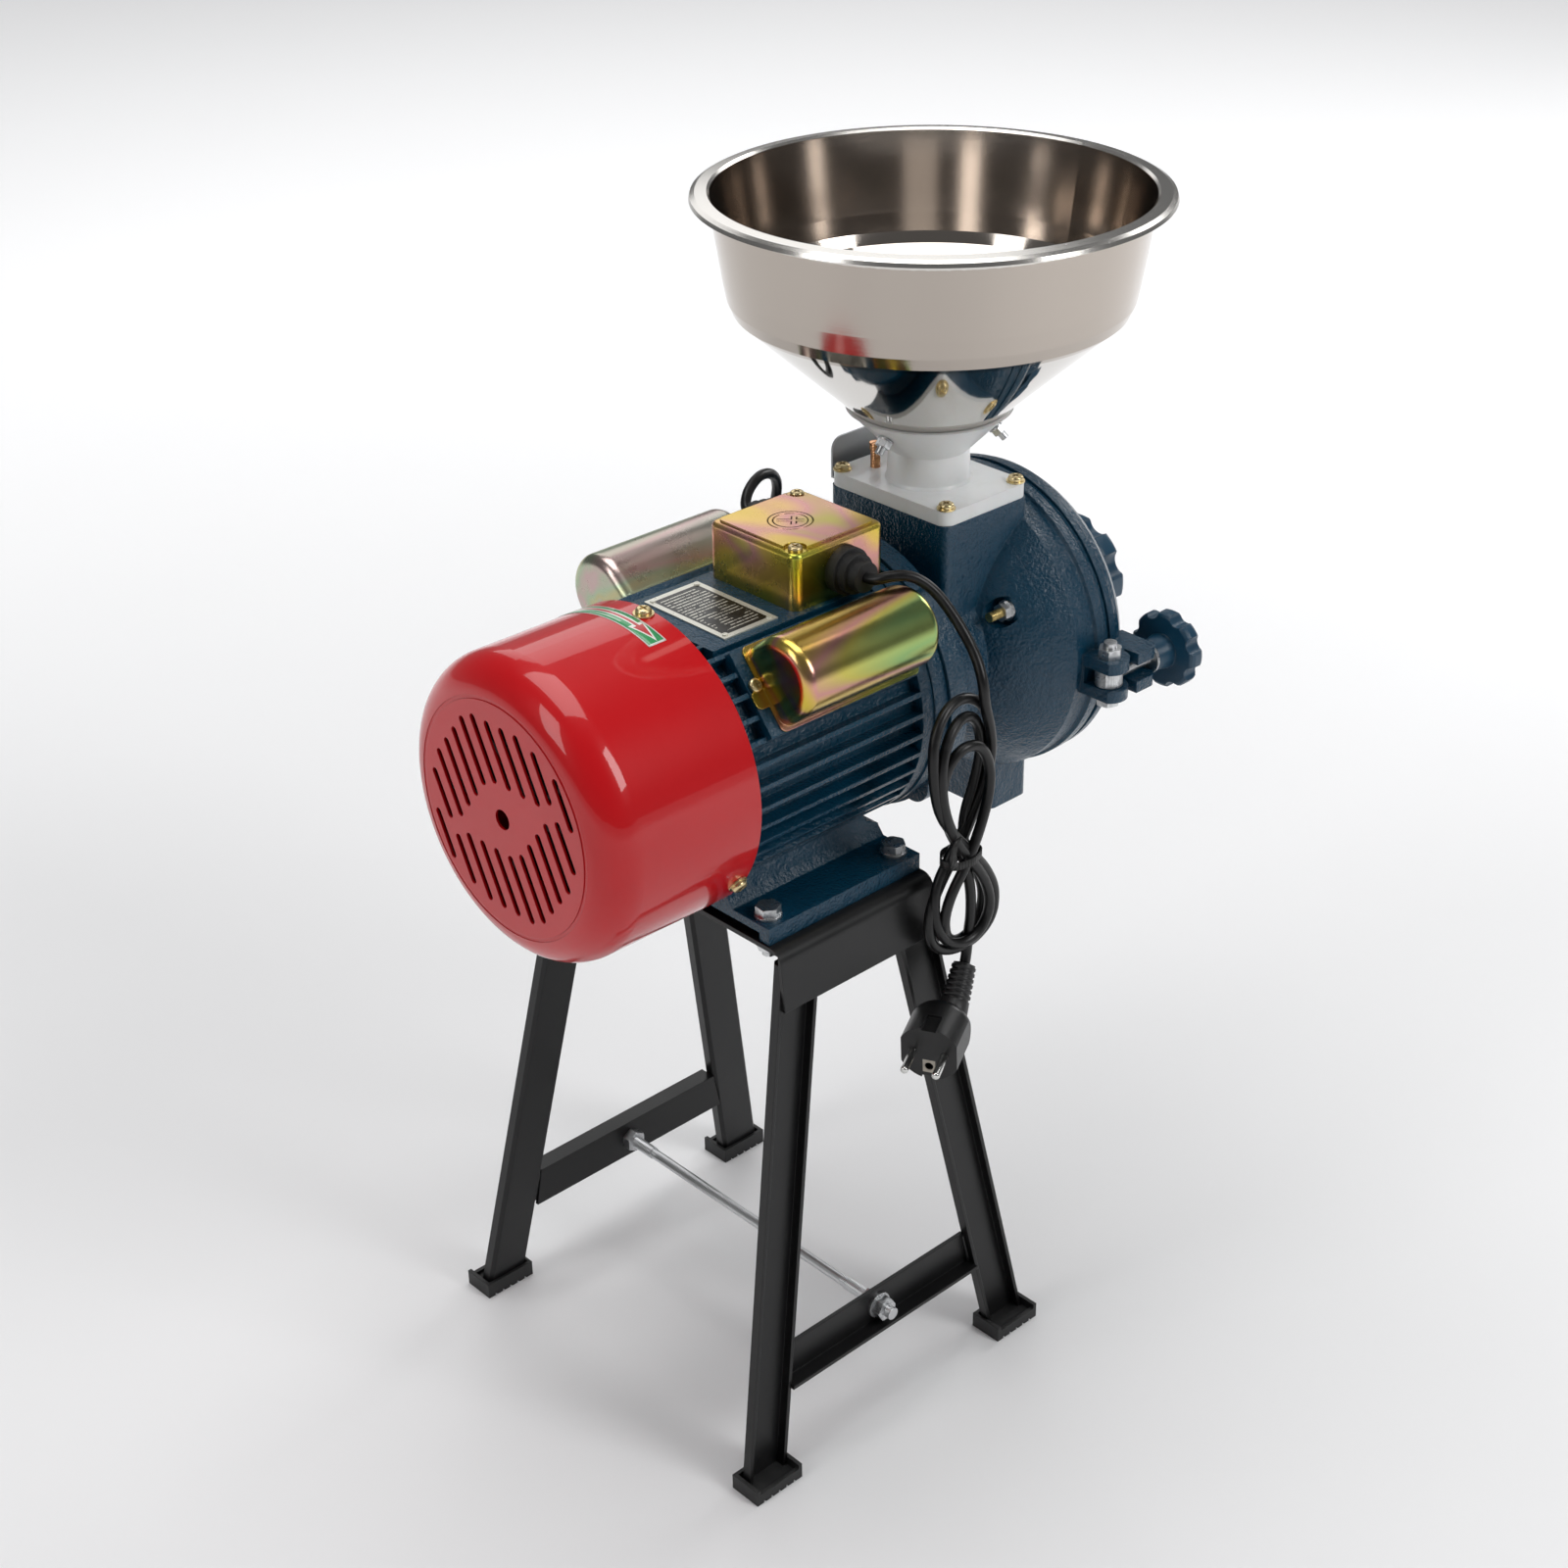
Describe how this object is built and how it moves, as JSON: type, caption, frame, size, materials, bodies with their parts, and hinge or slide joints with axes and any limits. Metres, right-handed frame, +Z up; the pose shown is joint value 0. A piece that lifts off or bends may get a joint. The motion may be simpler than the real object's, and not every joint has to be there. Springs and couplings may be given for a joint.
{
  "type": "motor-driven disc grain mill",
  "caption": "Electric burr mill for grain on a legged steel stand, with a steel hopper, clamped grinding head, adjusting knob, capacitor motor and tied-up mains cord.",
  "frame": {"origin": "on the floor, midway between the four feet", "axes": "+X along the motor shaft from the fan cowl to the mill head, +Z up, -Y the side with the power cord and the clamp"},
  "size_m": [0.471, 0.2987, 0.711],
  "materials": {
    "black_paint": "semi-gloss",
    "blue_paint": "gloss, orange peel",
    "red_paint": "gloss",
    "black_rubber": "matte",
    "zinc_steel": "bright zinc",
    "yellow_zinc": "yellow passivated zinc",
    "rainbow_zinc": "iridescent yellow zinc",
    "plate_aluminium": "printed, satin",
    "shield_iron": "as cast",
    "core_steel": "laminated",
    "copper_wire": "varnished",
    "ground_steel": "ground",
    "burr_iron": "as cast, ground teeth",
    "grey_plastic": "matte",
    "black_plastic": "satin",
    "white_plastic": "satin",
    "gate_sheet": "galvanised",
    "stainless": "polished, lightly scratched",
    "brass_screw": "plain",
    "cord_pvc": "satin"
  },
  "bodies": {
    "base": {"stand_saddle": "black_paint", "legs_near": "black_paint", "legs_far": "black_paint", "rubber_shoes": "black_rubber", "brace_near": "black_paint", "brace_far": "black_paint", "tie_rod": "zinc_steel", "tie_rod_nuts": "zinc_steel", "motor_body": "blue_paint", "foot_bolts": "zinc_steel", "rear_shield": "shield_iron", "front_shield": "blue_paint", "bearings": "ground_steel", "stator_core": "core_steel", "stator_windings": "copper_wire", "fan_cowl": "red_paint", "cowl_screws": "yellow_zinc", "nameplate": "plate_aluminium", "terminal_cover": "rainbow_zinc", "terminal_screws": "yellow_zinc", "terminal_block": "black_plastic", "cord_glands": "black_rubber", "capacitor_cover_near": "rainbow_zinc", "capacitor_cover_far": "rainbow_zinc", "capacitor_screws": "yellow_zinc", "capacitors": "grey_plastic", "switch_bracket": "blue_paint", "switch_box": "black_plastic", "switch_lead": "cord_pvc", "mill_housing": "blue_paint", "mill_cover": "blue_paint", "static_burr": "burr_iron", "burr_studs": "yellow_zinc", "burr_nuts": "zinc_steel", "join_bolts": "blue_paint", "hopper_adapter": "white_plastic", "adapter_screws": "yellow_zinc", "hopper": "stainless", "hopper_bolts": "zinc_steel", "hopper_nuts": "yellow_zinc", "spindle_lock_nut": "zinc_steel", "lug_pins": "zinc_steel", "power_cord": "cord_pvc", "cord_hank": "cord_pvc", "cord_tie": "black_plastic", "plug": "black_plastic"},
    "rotor": {"motor_shaft": "ground_steel", "rotor_core": "core_steel", "cooling_fan": "grey_plastic", "feed_auger": "ground_steel"},
    "runner": {"runner_burr": "burr_iron", "drive_disc": "ground_steel"},
    "spindle": {"adjusting_spindle": "ground_steel"},
    "knob": {"adjusting_knob": "blue_paint"},
    "gate": {"slide_gate": "gate_sheet"},
    "gate_screw": {"gate_lock_screw": "brass_screw"},
    "rocker": {"switch_rocker": "black_plastic"},
    "eye_bolt": {"clamp_eye_bolt": "zinc_steel"},
    "washer": {"clamp_washer": "zinc_steel"},
    "handwheel": {"clamp_handwheel": "blue_paint"}
  },
  "joints": [
    {"name": "rotor_spin", "type": "hinge", "parent": "base", "child": "rotor", "pos_m": [0, 0, 0.4315], "axis": [1, 0, 0], "continuous": true},
    {"name": "runner_travel", "type": "slide", "parent": "rotor", "child": "runner", "axis": [1, 0, 0], "range_m": [-0.0006, 0.0034]},
    {"name": "adjuster_travel", "type": "slide", "parent": "base", "child": "spindle", "axis": [1, 0, 0], "range_m": [-0.0006, 0.0034]},
    {"name": "knob_turn", "type": "hinge", "parent": "spindle", "child": "knob", "pos_m": [0.294, 0, 0.4315], "axis": [1, 0, 0], "range_deg": [-110, 615]},
    {"name": "gate_slide", "type": "slide", "parent": "base", "child": "gate", "axis": [0, 1, 0], "range_m": [0, 0.058]},
    {"name": "gate_screw_turn", "type": "hinge", "parent": "base", "child": "gate_screw", "pos_m": [0.1465, 0.0324, 0.545], "axis": [0, 0, 1], "range_deg": [0, 720]},
    {"name": "rocker_tip", "type": "hinge", "parent": "base", "child": "rocker", "pos_m": [0.091, 0.1115, 0.422], "axis": [1, 0, 0], "range_deg": [0, 18]},
    {"name": "clamp_swing", "type": "hinge", "parent": "base", "child": "eye_bolt", "pos_m": [0.204, -0.1085, 0.426], "axis": [0, 0, -1], "range_deg": [0, 100]},
    {"name": "washer_slide", "type": "slide", "parent": "eye_bolt", "child": "washer", "axis": [1, 0, 0], "range_m": [0, 0.014]},
    {"name": "handwheel_turn", "type": "hinge", "parent": "washer", "child": "handwheel", "pos_m": [0.25, -0.1085, 0.426], "axis": [1, 0, 0], "range_deg": [0, 4040]}
  ],
  "couplings": [
    {"joint": "runner_travel", "follows": "adjuster_travel", "ratio": 1},
    {"joint": "knob_turn", "follows": "adjuster_travel", "rad_per_m": 3141.6},
    {"joint": "handwheel_turn", "follows": "washer_slide", "rad_per_m": 5026.5}
  ]
}
